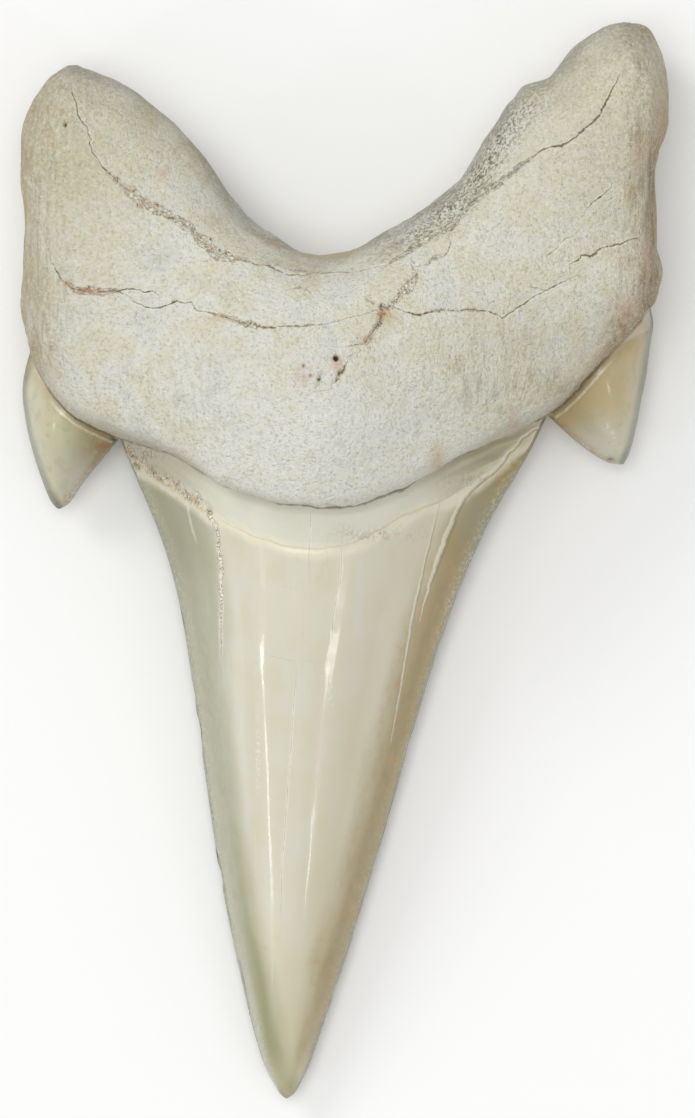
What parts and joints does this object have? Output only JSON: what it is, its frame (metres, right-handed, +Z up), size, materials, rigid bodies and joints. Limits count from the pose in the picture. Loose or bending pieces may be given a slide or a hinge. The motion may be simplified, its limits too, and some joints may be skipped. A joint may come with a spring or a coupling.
{
  "type": "fossil shark tooth",
  "caption": "Fossil shark tooth lying flat: a forked, cracked root over a long pointed enamel crown, with a small side cusplet at each shoulder.",
  "frame": {"origin": "middle of the tooth's bounding box in plan, on the surface that the tooth lies on", "axes": "+Z up out of the domed lingual face, +Y from the crown's point towards the root's two lobes, +X towards the root's longer lobe"},
  "size_m": [0.0456, 0.076, 0.0192],
  "materials": {
    "fossil": "matt, porous off-white root and glossy ivory enamel with olive brown flanks"
  },
  "bodies": {
    "root": {"shark_tooth": "fossil"}
  },
  "joints": []
}
